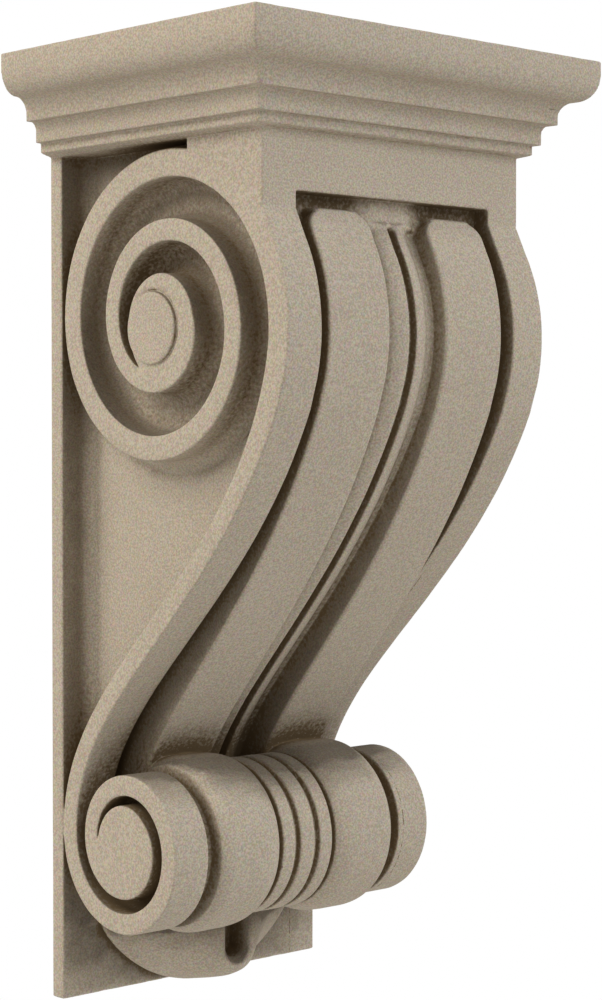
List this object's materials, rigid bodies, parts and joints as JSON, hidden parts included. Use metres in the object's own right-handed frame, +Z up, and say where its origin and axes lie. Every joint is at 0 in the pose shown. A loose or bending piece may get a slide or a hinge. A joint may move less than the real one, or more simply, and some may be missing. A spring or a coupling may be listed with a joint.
{
  "type": "stone corbel",
  "caption": "Carved stone corbel with a moulded cap, scrolled S-shaped body, volutes, raised front straps, ringed lower roll and a lobed foot.",
  "frame": {"origin": "centre of the flat back face at half the height of the corbel, from the top of the cap to the foot of the back plate", "axes": "+Z up, +Y into the wall, -Y out of the wall towards the viewer, +X to the right seen from the front"},
  "size_m": [0.1988, 0.1586, 0.4015],
  "materials": {
    "stone": "matte, fine-grained"
  },
  "bodies": {
    "root": {"corbel": "stone"}
  },
  "joints": []
}
